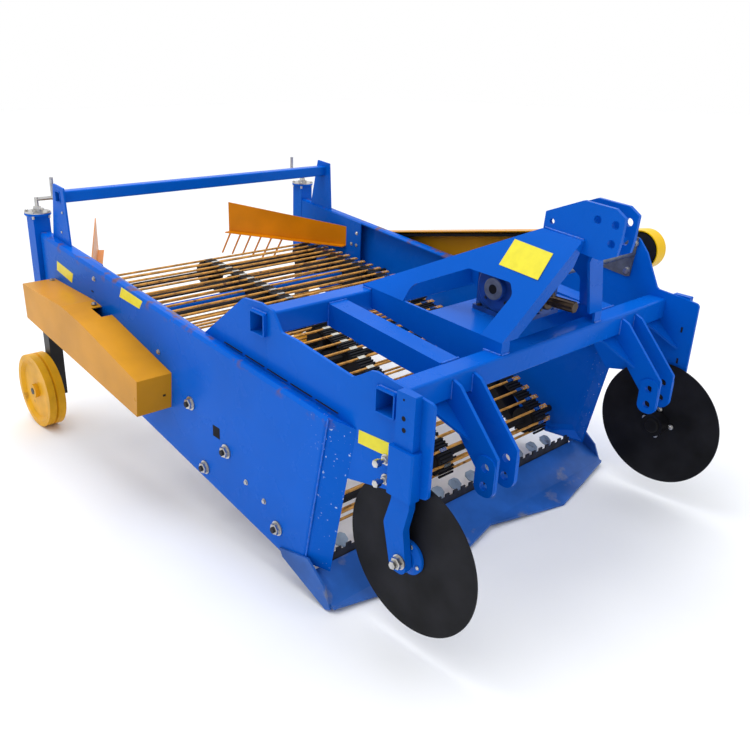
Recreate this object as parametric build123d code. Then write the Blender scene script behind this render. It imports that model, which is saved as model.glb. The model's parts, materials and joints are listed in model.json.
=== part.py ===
"""Two-row potato harvester (mounted digger): steel frame, rod webs, share, disc coulters, rear wheels.

Everything is drawn in the hitch frame, in millimetres: X across the machine, +X to its right as the
eye looks from the hitch towards the rear, Y rearwards, Z up. Its zero is the middle of the front
crossbar, on the bar's upper front edge. At the end the whole machine is pitched so that it stands on
its share cheeks and rear wheels, and its origin is the middle of its box on the ground.
"""

from build123d import *
import os
from math import asin, atan2, degrees, radians, sin

# Frame across the machine
plate_out = 736          # outer face of each hitch plate
plate_t = 10             # hitch plate thickness
wall_deep = 49           # each side wall's folded edges, from the hitch plate's plane outwards
wall_out = plate_out + wall_deep
wall_t = 6               # side wall sheet
clear = 0.3              # running gap at seats that only touch
deep = 2000              # longer than any cutter needs

# Crossbars and the beams between them
tube = 80                # square tube side
tube_t = 6               # tube wall
tube_corner = 9          # outer corner radius of the square tube
bar_stick = 14           # how far each crossbar stands out of the hitch plates
rear_bar_y = 605         # front face of the rear crossbar
rear_bar_z = 65          # top face of the rear crossbar
beam_drop = 13           # beam top below the rear crossbar's top
outer_beam_x = 438       # centre of the outer beams

# Hitch plates, side view (Y, Z), from the rear foot over the two bars to the nose
hitch_outline = [
    (980, -104), (737, 86), (641, 93), (577, 84), (531, 23), (459, 21), (191, -14), (160, 3),
    (116, 30), (92, 35), (35, 30), (-54, 22), (-135, 12), (-135, -277), (208, -357), (300, -250),
]
hitch_radii = [0, 22, 8, 12, 20, 10, 18, 10, 8, 8, 8, 8, 16, 16, 0, 40]
horn_outline = [(255, 20), (197, 205), (157, 213), (110, 160), (46, 36), (20, 20), (92, 0)]
horn_radii = [0, 26, 26, 8, 10, 0, 0]

# Lower hitch
clevis_x = 461           # middle of each lower clevis
clevis_gap = 80          # inside width of a lower clevis
clevis_t = 12            # lower clevis plate
lower_pin_d = 28.5       # hole for a 28 mm lower link pin
pin_y = -155             # lower pins, forward of the front crossbar
pin_z = (-242, -302)     # upper and lower pair of holes
pin_edge = 37            # plate round the lowest hole
pad_r = 34               # doubling pad round the two holes
pad_t = 6
gusset_t = 10
gusset_reach = 84        # how far a side gusset runs out along the crossbar

# Saddle: two side plates across both crossbars, the gearbox plate between them and the mast on top
saddle_half = 279        # outer face of each side plate
saddle_t = 10
saddle_front, saddle_rear = (10, 40), (650, 76)   # upper edge, Y and Z
saddle_flange = 40       # folded front edge, on the front crossbar
gear_plate_t = 10
gear_plate_y = (97, 330)

# Mast and upper hitch
mast_t = 10
mast_head = (-45, 0, 368)    # left plate at the upper clevis
mast_upper = [(69, 362), (-85, 352)]              # corners at the head, Y and Z
# Window corners, Y and Z, where Z 0 means the saddle's upper edge
mast_window = [(97, 0), (55, 169), (83, 200), (256, 207), (444, 116), (446, 0)]
mast_radii = [0, 12, 6, 0, 0, 24, 20, 20, 34, 0]
mast_flange = 58         # folded front edge
top_gap = 62             # inside width of the upper clevis
top_t = 14
top_pin_d = 25.5         # hole for a 25 mm top link pin
top_holes = [(-117, 421), (-179, 416), (-174, 358)]
top_small_hole = (43, 387)
top_small_d = 18
top_outline = [
    (74, 345), (70, 415), (-62, 470), (-173, 463), (-208, 440), (-204, 366), (-197, 325),
    (-146, 302), (-60, 312), (30, 318),
]
top_radii = [0, 4, 4, 6, 6, 6, 6, 6, 30, 0]

# Gearbox, cross shaft and belt drive
shaft_y, shaft_z = 178, 148    # the cross shaft's line
gearbox_half = 96              # half width of the casting
gearbox_len, gearbox_top = 190, 227
gearbox_corner = 34
foot_t, foot_past = 16, 20      # gearbox foot: thickness, and how far it stands out each side
flange_r, flange_bore, flange_proud = 70, 24, 18
cover_r, cover_proud = 40, 20  # bearing cover on the flange
gearbox_nose_r, gearbox_nose = 52, 28   # boss round the input shaft
stub_r, stub_long = 17.5, 110  # input stub, 35 mm
stub_z = 120
cross_tube_r, cross_shaft_r = 38, 20
pulley_w, pulley_rim, pulley_gap = 34, 6, 8     # face, rim thickness, gap to the wall
pulley_x = wall_out + pulley_gap + pulley_rim + pulley_w / 2
pulley_r_front, pulley_r_rear = 52, 82
belt_t = 12
shaft_past = 7                 # shaft ends beyond the pulleys
belt_guard_r, belt_guard_r_rear, guard_t = 80, 108, 4
belt_guard_out = pulley_x + pulley_w / 2 + shaft_past + 6 + guard_t

# Side walls, side view (Y, Z)
wall_front_top = (236, -152)
wall_top_slope = 0.078         # rise of the upper edge towards the rear
wall_front_low = (340, -718)
wall_low_knee = (466, -760)
wall_low_slope = 0.169         # rise of the lower edge towards the rear
wall_plate_end = 2100          # the outer sheet stops here, and the flange runs on to the post
rear_cheek = (1770, -330, 6)   # plate inside the wall by the post: its front, low edge, thickness

# Share, its cheeks and the fingers behind it
share_half = wall_out          # the share ends flush with the walls
cheek_t = 8
share_tip_y = 188              # leading edge at the two ends
share_lobe = (362, 92)         # the leading edge's two points, X and Y
share_notch_y = 180            # leading edge in the middle
share_front_z = -826
share_crease = (196, -812)     # line where lip and body meet, Y and Z
share_rear = (322, -752)       # rear edge of the body
share_t = 10
cheek_outline = [
    (224, -838), (200, -826), (236, -752), (318, -690), (470, -728), (453, -756), (359, -790),
]
angle_high, angle_t = 34, 6
tooth_pitch, tooth_w, tooth_h = 46, 22, 14
finger_pitch, finger_w, finger_t, finger_long = 100, 56, 5, 70
finger_tilt = 30

# Rod webs
rod_d = 11
rod_sides = 4            # the loops keep plain square rods
rod_half = 690
rod_pitch = 60
belt_w, belt_thick = 84, 9
web_belts = (-620, 0, 620)                     # middles of the belts
web_turn_r = 64                                # rod line round an end roller
support_turn_r = 45                            # rod line over a support roller
front_web_ends = [(490, -662), (1200, -366)]   # nose and drive roller
front_supports = [(791, -492), (1020, -386)]
rear_web_ends = [(1362, -306), (2110, -265)]   # front and drive roller
rear_supports = [(1620, -268), (1860, -254)]
return_rollers = [(936, -619, 44)]             # Y, Z and radius, under the front web
roller_shaft_r = 15
roller_shaft_out = 18                          # front web shafts stand out of the walls
roller_w = 92
shaft_sides, roller_sides = 8, 16     # flats on the roller shafts and on the rollers
cross_tube_places = [(1775, -292, 26), (1290, -470, 30)]   # Y, Z and radius

# Chain guard on the left wall
guard_out = wall_out + 145
guard_outline = [(2160, -178), (1765, -180), (1595, -204), (1150, -308), (1167, -456), (2155, -335)]
guard_notch = (1610, 1700)

# Rear posts, screw jacks, struts and wheels
post_x, post_y, post_side = 766, 2316, 76
post_top, post_low = 84, -330
jack_flange_r, jack_flange_t = 58, 9
jack_neck_r, jack_neck_h = 24, 14
crank_r, crank_rise, crank_arm, crank_grip = 9, 58, 78, 92
strut_side, strut_t = 62, 5
strut_gap = 0.3                # between the strut and the post's inside
wheel_z = -764
wheel_r, wheel_w, wheel_out = 180, 80, 886
rim_groove = 13
axle_r, hub_r = 16, 34
axle_past = 8                  # axle end outside the wheel
strut_top = -20
strut_foot = 40                # strut below the wheel's axle

# Rear stay, its uprights and the leaf deflectors
upright_top = [(2152, 245), (2053, 238)]
upright_foot = (2035, 2207)
upright_x, upright_t = 750, 8
stay_side, stay_t, stay_y, stay_z = 50, 4, 2086, 219
deflector_wall = (plate_out, 1786)
deflector_bend = (plate_out, 1884)
deflector_free = (402, 2525)
deflector_top = (-75, -15)
deflector_low = (-180, -184)
deflector_t, deflector_flange, flange_dip = 5, 34, 4
tine_r, tine_long, tine_count = 5, 165, 6
tine_span = (0.52, 0.97)          # first and last tine along the wing

# Disc coulters
disc_x, disc_y, disc_z = plate_out - 18, -67, -503
disc_r, disc_t = 255, 5
disc_pin_r = 15
disc_hub_r, disc_hub_l = 46, 62
shank_t, shank_w = 26, 71
shank_y = -55
shank_top = 26
sleeve_wall, sleeve_high, sleeve_low = 12, -140, -292
shank_gap = 0.4


def box(x, y, z):
    """A box from three (low, high) pairs."""
    size = (x[1] - x[0], y[1] - y[0], z[1] - z[0])
    return Pos((x[0] + x[1]) / 2, (y[0] + y[1]) / 2, (z[0] + z[1]) / 2) * Box(*size)


def side_plate(outline, x_low, thick, radii=0):
    """A plate parallel to the side walls: a (Y, Z) outline, thick along X."""
    path = FilletPolyline(*outline, radius=radii, close=True)
    return Pos(x_low, 0, 0) * extrude(Plane.YZ * make_face(path), thick)


def rod_x(x_low, x_high, y, z, radius):
    """A round bar across the machine."""
    mid = (x_low + x_high) / 2
    return Pos(mid, y, z) * Rot(0, 90, 0) * Cylinder(radius, x_high - x_low)


def prism_x(x_low, x_high, y, z, radius, sides):
    """A bar across the machine with a many-sided section, for parts that repeat."""
    return Pos(x_low, y, z) * extrude(Plane.YZ * RegularPolygon(radius, sides), x_high - x_low)


def square_bar(x_low, x_high, y_low, z_low, side, wall):
    """A square tube across the machine, open at both ends."""
    outer = box((x_low, x_high), (y_low, y_low + side), (z_low, z_low + side))
    outer = fillet(outer.edges().filter_by(Axis.X), wall * 1.5)
    inner = box((x_low - 1, x_high + 1), (y_low + wall, y_low + side - wall),
                (z_low + wall, z_low + side - wall))
    return outer - inner


def crossbar(y_low, z_top):
    reach = plate_out + bar_stick
    return square_bar(-reach, reach, y_low, z_top - tube, tube, tube_t)


def beam(x_mid):
    """A tube from the front crossbar's back face up to the rear crossbar's front face."""
    rise = rear_bar_z - beam_drop
    front, back = (tube, 0), (rear_bar_y, rise)
    outline = [front, back, (back[0], back[1] - tube), (front[0], front[1] - tube)]
    inner = [(y, z - tube_t) for y, z in (front, back)]
    inner += [(y, z + tube_t) for y, z in outline[2:]]
    solid = side_plate(outline, x_mid - tube / 2, tube)
    return solid - side_plate(inner, x_mid - tube / 2 + tube_t, tube - 2 * tube_t)


def saddle_top(y):
    """Height of the saddle's upper edge at y."""
    (y0, z0), (y1, z1) = saddle_front, saddle_rear
    return z0 + (z1 - z0) * (y - y0) / (y1 - y0)


def saddle_side():
    """Left side plate of the saddle, folded inwards at its front end."""
    rear_low = rear_bar_z - tube + 15
    outline = [
        (saddle_front[0], 0), saddle_front, saddle_rear, (saddle_rear[0], rear_bar_z),
        (rear_bar_y, rear_bar_z), (rear_bar_y, rear_low), (tube, -tube), (tube, 0),
    ]
    y = saddle_front[0]
    flange = box((-saddle_half, -saddle_half + saddle_flange), (y, y + saddle_t), (0, saddle_top(y)))
    return side_plate(outline, -saddle_half, saddle_t) + flange


def hitch_plate():
    """The left plate with its two bar openings, the coulter sleeve and the crossbar gusset."""
    plate = side_plate(hitch_outline, -plate_out, plate_t, hitch_radii)
    plate -= bar_opening(0, 0)
    plate -= bar_opening(rear_bar_y, rear_bar_z)
    gusset = wedge(-plate_out + plate_t, 1)
    return plate + coulter_sleeve() + gusset


def hitch_plate_right():
    """The right plate, which rises to a horn round the cross shaft."""
    horn = side_plate(horn_outline, plate_out - plate_t, plate_t, horn_radii)
    plate = mirror(hitch_plate(), Plane.YZ) + (horn - right_bar_face())
    return plate - rod_x(plate_out - plate_t - 1, plate_out + 1, shaft_y, shaft_z, cross_shaft_r + clear)


def right_bar_face():
    return box((plate_out - plate_t - 1, plate_out + 1), (0, tube), (-tube, 0))


def bar_opening(y_low, z_top):
    hole = box((-plate_out - 1, -plate_out + plate_t + 1), (y_low, y_low + tube),
               (z_top - tube, z_top))
    return fillet(hole.edges().filter_by(Axis.X), tube_t * 1.5)


def wedge(x_root, side):
    """A triangular gusset from the front crossbar down onto a plate face at x_root."""
    lie = Plane(origin=(x_root, 30, -tube - 4), x_dir=(1, 0, 0), z_dir=(0, -0.66, 0.75))
    reach, drop = gusset_reach * side, -150
    sketch = lie * make_face(Polyline((0, 0), (reach, 0), (0, drop), close=True))
    return extrude(sketch, gusset_t / 2, both=True)


def coulter_sleeve():
    """The box welded outside the hitch plate, round the coulter shank."""
    half = shank_w / 2 + shank_gap + sleeve_wall
    x_in = -plate_out - clear
    x_out = -plate_out - shank_t - 2 * shank_gap - sleeve_wall
    outer = box((x_out, -plate_out), (shank_y - half, shank_y + half), (sleeve_low, sleeve_high))
    outer = fillet(outer.edges().filter_by(Axis.Z).sort_by(Axis.X)[:2], 6)
    inner = box((x_out + sleeve_wall, -plate_out), (shank_y - half + sleeve_wall,
                shank_y + half - sleeve_wall), (sleeve_low - 1, sleeve_high + 1))
    return outer - inner


def mast_slab(depth_out, depth_in):
    """A slab along the left mast plate's slanted plane."""
    x = -saddle_half + saddle_t / 2
    rear, front = (Vector(x, y, z) for y, z in (saddle_rear, saddle_front))
    head = Vector(*mast_head)
    out = (head - front).cross(rear - front).normalized()
    if out.X > 0:
        out = -out
    lie = Plane(origin=front, x_dir=(rear - front), z_dir=out)
    slab = Pos(0, 0, (depth_out - depth_in) / 2) * Box(deep, deep, depth_out + depth_in)
    return lie * slab


def mast_side():
    """Left mast plate, with the folded flange down its front edge."""
    reach = saddle_half + 2 * mast_t
    window = [(y, z if z else saddle_top(y)) for y, z in mast_window]
    outline = [saddle_rear] + mast_upper + [saddle_front] + window
    prism = side_plate(outline, -reach, reach, mast_radii)
    plate = prism & mast_slab(mast_t / 2, mast_t / 2)
    head, foot = mast_upper[1], saddle_front
    run = Vector(foot[0] - head[0], foot[1] - head[1]).normalized() * mast_t
    strip = [head, foot, (foot[0] - run.Y, foot[1] + run.X), (head[0] - run.Y, head[1] + run.X)]
    flange = side_plate(strip, -reach, reach) & mast_slab(0, mast_flange)
    above = box((-deep, -(top_gap / 2 + top_t)), (-deep, tube), (0, deep))
    rest = box((-deep, -(top_gap / 2 + top_t)), (tube, deep), (-deep, deep))
    return (plate + flange) & (above + rest)


def top_clevis():
    plates = []
    for x_low in (-top_gap / 2 - top_t, top_gap / 2):
        plate = side_plate(top_outline, x_low, top_t, top_radii)
        for y, z in top_holes:
            plate -= rod_x(x_low - 1, x_low + top_t + 1, y, z, top_pin_d / 2)
        y, z = top_small_hole
        plate -= rod_x(x_low - 1, x_low + top_t + 1, y, z, top_small_d / 2)
        plates.append(plate)
    return plates


def lower_clevis():
    """Left lower clevis: two hanging plates with pads, and a gusset outside each."""
    low = pin_z[1] - pin_edge
    outline = [
        (-clear, -16), (-30, -28), (-192, -204), (-192, low), (-118, low), (-118, -262),
        (46, -tube - clear), (-clear, -tube - clear),
    ]
    radii = [0, 6, 10, 34, 34, 16, 0, 0]
    solids = []
    for side in (-1, 1):
        x_mid = -clevis_x + side * (clevis_gap + clevis_t) / 2
        plate = side_plate(outline, x_mid - clevis_t / 2, clevis_t, radii)
        face = x_mid + side * clevis_t / 2
        pad = side_plate([(-191, -205), (-191, low + 3), (-119, low + 3), (-119, -205)],
                         min(face, face + side * pad_t), pad_t, [30, 30, 30, 30])
        plate += pad
        plate += wedge(face, side)
        for z in pin_z:
            plate -= rod_x(x_mid - 40, x_mid + 40, pin_y, z, lower_pin_d / 2)
        solids.append(plate)
    return solids


def gearbox():
    """Cast bevel gearbox, with a round bearing flange on its left face."""
    y = (shaft_y - gearbox_len / 2, shaft_y + gearbox_len / 2)
    seat = [saddle_top(end) + clear for end in y]
    case = side_plate([(y[0], seat[0]), (y[0], gearbox_top), (y[1], gearbox_top), (y[1], seat[1])],
                      -gearbox_half, 2 * gearbox_half, gearbox_corner)
    flange = rod_x(-gearbox_half - flange_proud, -gearbox_half, shaft_y, shaft_z, flange_r)
    face = -gearbox_half - flange_proud - cover_proud
    rim = rod_x(face, -gearbox_half, shaft_y, shaft_z, cover_r)
    bore = rod_x(face - 1, -gearbox_half + 10, shaft_y, shaft_z, flange_bore)
    nose = Pos(0, y[0] - gearbox_nose / 2, stub_z) * Rot(90, 0, 0) * Cylinder(gearbox_nose_r, gearbox_nose)
    foot = side_plate([(y[0], seat[0]), (y[0], seat[0] + foot_t), (y[1], seat[1] + foot_t), (y[1], seat[1])],
                      -gearbox_half - foot_past, 2 * (gearbox_half + foot_past))
    return case + flange + rim + nose + foot - bore


def gearbox_mount():
    """Plate between the saddle's sides, flush with their upper edges."""
    front, back = gear_plate_y
    outline = [(front, saddle_top(front)), (back, saddle_top(back)),
               (back, saddle_top(back) - gear_plate_t), (front, saddle_top(front) - gear_plate_t)]
    half = saddle_half - saddle_t
    return side_plate(outline, -half, 2 * half)


def input_stub():
    """The shaft stub that the tractor's drive line slides onto."""
    nose = shaft_y - gearbox_len / 2 - gearbox_nose
    return Pos(0, nose - stub_long / 2, stub_z) * Rot(90, 0, 0) * Cylinder(stub_r, stub_long)


def cross_shaft_housing():
    """Tube round the cross shaft, from the gearbox to the right hitch plate's horn."""
    return rod_x(gearbox_half, plate_out - plate_t, shaft_y, shaft_z, cross_tube_r)


def drive_shaft():
    """The shaft's outer end, through the horn and the front pulley."""
    return rod_x(plate_out - plate_t, pulley_x + pulley_w / 2 + shaft_past, shaft_y, shaft_z, cross_shaft_r)


def pulley(centre, radius, bore):
    """A flat-sided pulley with two rims."""
    y, z = centre
    x_low, x_high = pulley_x - pulley_w / 2, pulley_x + pulley_w / 2
    body = rod_x(x_low, x_high, y, z, radius)
    for face in (x_low - pulley_rim, x_high):
        body += rod_x(face, face + pulley_rim, y, z, radius + belt_t + 4)
    return body - rod_x(x_low - 2 * pulley_rim, x_high + 2 * pulley_rim, y, z, bore)


def loop_outline(centres, radii):
    """Face of a belt path in (Y, Z): circles and their outer tangents."""
    faces = [Pos(y, z) * Circle(r) for (y, z), r in zip(centres, radii)]
    return make_hull([edge for face in faces for edge in face.edges()])


def loop_solid(centres, radii, x_low, x_high):
    face = loop_outline(centres, radii)
    return Pos(x_low, 0, 0) * extrude(Plane.YZ * face, x_high - x_low)


def drive_belt():
    ends = ((shaft_y, shaft_z), rear_web_ends[1])
    inner = (pulley_r_front + clear, pulley_r_rear + clear)
    outer = [r + belt_t for r in inner]
    x = (pulley_x - pulley_w / 2 + 1, pulley_x + pulley_w / 2 - 1)
    return loop_solid(ends, outer, *x) - loop_solid(ends, inner, x[0] - 1, x[1] + 1)


def belt_guard():
    """Channel over the belt on the right: closed outside and above, open towards the wall."""
    ends = ((shaft_y, shaft_z), rear_web_ends[1])
    outer = (belt_guard_r, belt_guard_r_rear)
    inner = [r - guard_t for r in outer]
    x_in = wall_out + clear
    shell = loop_solid(ends, outer, x_in, belt_guard_out)
    return shell - loop_solid(ends, inner, x_in - 1, belt_guard_out - guard_t)


def wall_top(y):
    """Height of the side walls' upper face at y."""
    return wall_front_top[1] + wall_top_slope * (y - wall_front_top[0])


def wall_outline():
    rear = post_y - post_side / 2
    rear_low = wall_low_knee[1] + wall_low_slope * (rear - wall_low_knee[0])
    return [wall_front_top, (rear, wall_top(rear)), (rear, rear_low), wall_low_knee, wall_front_low]


def shrink(points, by):
    """The outline moved inwards by a wall thickness."""
    face = make_face(Polyline(*points, close=True))
    inner = offset(face, -by, kind=Kind.INTERSECTION)
    return inner


def side_wall():
    """Left wall: a sheet with its edges folded inwards, a cheek inside its rear end, and shaft holes."""
    points = wall_outline()
    outer = extrude(Plane.YZ * make_face(Polyline(*points, close=True)), wall_out - plate_out)
    inner = extrude(Plane.YZ * shrink(points, wall_t), wall_out - plate_out)
    wall = Pos(-wall_out, 0, 0) * outer - Pos(-wall_out + wall_t, 0, 0) * inner
    rear = post_y - post_side / 2
    front, low, thick = rear_cheek
    wall += side_plate([(front, wall_top(front) - wall_t / 2), (rear, wall_top(rear) - wall_t / 2),
                        (rear, low), (front, low)], -plate_out - thick, thick)
    wall -= box((-wall_out - 1, -wall_out + wall_t), (wall_plate_end, rear - 30), (low, -60))
    for y, z in front_web_ends + front_supports + rear_web_ends + rear_supports:
        wall -= rod_x(-wall_out - 1, -plate_out + 1, y, z, roller_shaft_r + clear)
    for y, z, r in cross_tube_places:
        wall -= rod_x(-wall_out + wall_t, -plate_out + 1, y, z, r + clear)
    for y, z, r in return_rollers:
        wall -= rod_x(-wall_out - 1, -plate_out + 1, y, z, roller_shaft_r + clear)
    return wall


def side_wall_right():
    """The twin wall, with a larger hole for the belt-driven shaft."""
    wall = mirror(side_wall(), Plane.YZ)
    return wall - rod_x(plate_out - 1, wall_out + 1, *rear_web_ends[1], cross_shaft_r + clear)


def share():
    """Two-point share: a lip out to the leading edge, and the body up to the web."""
    lobe_x, lobe_y = share_lobe
    half = share_half
    edge = [(-half, share_tip_y), (-lobe_x, lobe_y), (0, share_notch_y), (lobe_x, lobe_y),
            (half, share_tip_y)]
    crease_y, crease_z = share_crease
    body = side_plate([share_crease, share_rear, (share_rear[0] + 4, share_rear[1] - share_t),
                       (crease_y, crease_z - share_t)], -half, 2 * half)
    lip_side = [(lobe_y - 20, share_front_z - 2), (crease_y, crease_z), (crease_y, crease_z - share_t),
                (lobe_y - 20, share_front_z - share_t)]
    lip = side_plate(lip_side, -half, 2 * half)
    plan = make_face(Polyline(*edge, (half, crease_y), (-half, crease_y), close=True))
    cutter = Pos(0, 0, -deep / 2) * extrude(plan, deep)
    return body + (lip & cutter)


def share_cheek():
    """Left cheek: carries the share below the wall's front corner, and rests on the ground."""
    return side_plate(cheek_outline, -wall_out - clear - cheek_t, cheek_t)


def share_angle():
    """Angle along the share's rear edge, with a row of teeth standing on it."""
    y, z = share_rear
    half = plate_out - 20
    along = (y + 4 + clear, y + 4 + clear + angle_t)
    bar = box((-half, half), along, (z - share_t, z + angle_high - share_t))
    count = int(2 * half / tooth_pitch)
    for i in range(count):
        x = -half + tooth_pitch * (i + 0.5)
        bar += box((x - tooth_w / 2, x + tooth_w / 2), along,
                   (z + angle_high - share_t - 1, z + angle_high - share_t + tooth_h))
    return bar


def share_fingers():
    """Flat fingers that bridge the gap from the share to the front web."""
    y, z = share_rear
    start = y + 4 + 2 * clear + angle_t + finger_t * sin(radians(finger_tilt))
    count = int(2 * (plate_out - 60) / finger_pitch)
    fingers = []
    for i in range(count):
        x = (i - (count - 1) / 2) * finger_pitch
        finger = box((x - finger_w / 2, x + finger_w / 2), (0, finger_long), (0, finger_t))
        fingers.append(Pos(0, start, z) * Rot(finger_tilt, 0, 0) * finger)
    return fingers


def rod_places(centres, radii):
    """Rod centres, evenly spaced along the loop round the given circles."""
    line = loop_outline(centres, radii).faces()[0].outer_wire()
    count = int(line.length / rod_pitch)
    return [line @ (i / count) for i in range(count)]


def rod_web(centres, radii):
    """One web: belts and the rods riveted across them, as one closed loop."""
    inner = [r - belt_thick for r in radii]
    belts = []
    for x in web_belts:
        x_low, x_high = x - belt_w / 2, x + belt_w / 2
        band = loop_solid(centres, radii, x_low, x_high)
        belts.append(band - loop_solid(centres, inner, x_low - 1, x_high + 1))
    rods = [prism_x(-rod_half, rod_half, p.X, p.Y, rod_d / 2, rod_sides) for p in rod_places(centres, radii)]
    return belts[0].fuse(*belts[1:], *rods)


def front_web_circles():
    centres = front_web_ends + front_supports
    return centres, [web_turn_r] * 2 + [support_turn_r] * 2


def rear_web_circles():
    centres = rear_web_ends + rear_supports
    return centres, [web_turn_r] * 2 + [support_turn_r] * 2


def web_roller(y, z, radius, reach):
    """A shaft through both walls, with a wheel under each belt."""
    solid = prism_x(-reach, reach, y, z, roller_shaft_r, shaft_sides)
    for x in web_belts:
        solid += prism_x(x - roller_w / 2, x + roller_w / 2, y, z, radius, roller_sides)
    return solid


def front_rollers():
    radius = web_turn_r - belt_thick - clear
    return [web_roller(y, z, radius, wall_out + roller_shaft_out) for y, z in front_web_ends]


def rear_rollers():
    """Rear web's rollers; the drive roller's shaft also carries the belt pulley."""
    radius = web_turn_r - belt_thick - clear
    front, drive = (web_roller(y, z, radius, wall_out) for y, z in rear_web_ends)
    end = pulley_x + pulley_w / 2 + shaft_past
    return [front, drive + rod_x(0, end, *rear_web_ends[1], cross_shaft_r)]


def support_rollers():
    radius = support_turn_r - belt_thick - clear
    rollers = [web_roller(y, z, radius, wall_out + roller_shaft_out) for y, z in front_supports]
    rollers += [web_roller(y, z, radius, wall_out) for y, z in rear_supports]
    return rollers + [web_roller(y, z, r, wall_out + roller_shaft_out) for y, z, r in return_rollers]


def cross_tubes():
    reach = wall_out - wall_t - clear
    return [prism_x(-reach, reach, y, z, r, roller_sides) for y, z, r in cross_tube_places]


def chain_guard():
    """Box over the chain drive on the left wall, open towards the wall."""
    wide = guard_out - wall_out - clear
    outer = Pos(-guard_out, 0, 0) * extrude(Plane.YZ * make_face(Polyline(*guard_outline, close=True)), wide)
    inner = Pos(-guard_out + guard_t, 0, 0) * extrude(Plane.YZ * shrink(guard_outline, guard_t), wide)
    notch = box((-wall_out - 46, -wall_out + 1), guard_notch, (-230, 0))
    return outer - inner - notch


def rear_post():
    """Left post: a square tube behind the wall that guides the wheel strut."""
    half = post_side / 2
    outer = box((-post_x - half, -post_x + half), (post_y - half, post_y + half), (post_low, post_top))
    hole = strut_side / 2 + strut_gap
    inner = box((-post_x - hole, -post_x + hole), (post_y - hole, post_y + hole),
                (post_low - 1, post_top - jack_flange_t))
    flange = Pos(-post_x, post_y, post_top + jack_flange_t / 2) * Cylinder(jack_flange_r, jack_flange_t)
    return outer - inner + flange


def jack_crank():
    """Left crank: neck, arm towards the machine's middle and upright grip."""
    base = post_top + jack_flange_t
    neck = Pos(-post_x, post_y, base) * extrude(RegularPolygon(jack_neck_r, roller_sides), jack_neck_h)
    section = RegularPolygon(crank_r, shaft_sides)
    riser = Pos(-post_x, post_y, base) * extrude(section, crank_rise + crank_r)
    arm = prism_x(-post_x, -post_x + crank_arm, post_y, base + crank_rise, crank_r, shaft_sides)
    low = base + crank_rise - crank_r
    grip = Pos(-post_x + crank_arm, post_y, low) * extrude(section, crank_grip + crank_r)
    return neck + riser + arm + grip


def wheel_strut():
    """Left strut: the sliding tube, with the wheel's axle standing out of its foot."""
    half = strut_side / 2
    low = wheel_z - strut_foot
    solid = box((-post_x - half, -post_x + half), (post_y - half, post_y + half), (low, strut_top))
    hole = half - strut_t
    solid -= box((-post_x - hole, -post_x + hole), (post_y - hole, post_y + hole),
                 (low + strut_t, strut_top + 1))
    return solid + rod_x(-wheel_out - axle_past, -post_x, post_y, wheel_z, axle_r)


def wheel():
    """Left wheel: two lipped rims with a groove between, a disc and a hub, turned in one piece."""
    x0, x1 = wheel_out - wheel_w, wheel_out
    mid = (x0 + x1) / 2
    bore = axle_r + clear
    half_groove = rim_groove / 2
    profile = [
        (x0 + 40, bore), (x1 + 6, bore), (x1 + 6, hub_r), (x1 - 14, hub_r), (x1 - 14, wheel_r - 44),
        (x1, wheel_r - 26), (x1, wheel_r), (mid + half_groove, wheel_r), (mid, wheel_r - 12),
        (mid - half_groove, wheel_r), (x0, wheel_r), (x0, wheel_r - 20), (x1 - 34, wheel_r - 40),
        (x1 - 34, hub_r), (x0 + 40, hub_r),
    ]
    face = make_face(Polyline(*[(x, 0, r) for x, r in profile], close=True))
    turned = revolve(face, Axis.X, 360)
    return mirror(Pos(0, post_y, wheel_z) * turned, Plane.YZ)


def upright():
    """Left upright plate with the stay's open end in it."""
    feet = [(y, wall_top(y) + clear) for y in upright_foot]
    plate = side_plate(upright_top + feet, -upright_x, upright_t, [4, 4, 0, 0])
    hole = box((-upright_x - 1, -upright_x + upright_t + 1), (stay_y, stay_y + stay_side),
               (stay_z - stay_side, stay_z))
    return plate - hole


def rear_stay():
    return square_bar(-upright_x - 2, upright_x + 2, stay_y, stay_z - stay_side, stay_side, stay_t)


def deflector():
    """Left leaf deflector: tab on the wall, wing swept inwards, folded lower edge and its tines."""
    stations = [deflector_wall, deflector_bend, deflector_free]
    tops = [deflector_top[0], deflector_top[0], deflector_top[1]]
    lows = [deflector_low[0], deflector_low[0], deflector_low[1]]
    solid = None
    for i in (0, 1):
        (xa, ya), (xb, yb) = stations[i], stations[i + 1]
        points = [(-xa + clear, ya, lows[i]), (-xb + clear, yb, lows[i + 1]),
                  (-xb + clear, yb, tops[i + 1]), (-xa + clear, ya, tops[i])]
        panel = extrude(make_face(Polyline(*points, close=True)), deflector_t, dir=(1, 0, 0))
        solid = panel if solid is None else solid + panel
    (xa, ya), (xb, yb) = deflector_bend, deflector_free
    za, zb = lows[1], lows[2]
    xa, xb = xa - clear, xb - clear
    edge = [(-xa, ya, za), (-xb, yb, zb), (-xb + deflector_flange, yb, zb - flange_dip),
            (-xa + deflector_flange, ya, za - flange_dip)]
    solid += extrude(make_face(Polyline(*edge, close=True)), deflector_t, dir=(0, 0, 1))
    for i in range(tine_count):
        t = tine_span[0] + (tine_span[1] - tine_span[0]) * i / (tine_count - 1)
        x, y, z = -xa + (xa - xb) * t + deflector_flange / 2, ya + (yb - ya) * t, za + (zb - za) * t
        lie = Plane(origin=(x, y, z), z_dir=(0, 0.55, -0.83))
        solid += lie * extrude(RegularPolygon(tine_r, shaft_sides), tine_long)
    return solid


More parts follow.
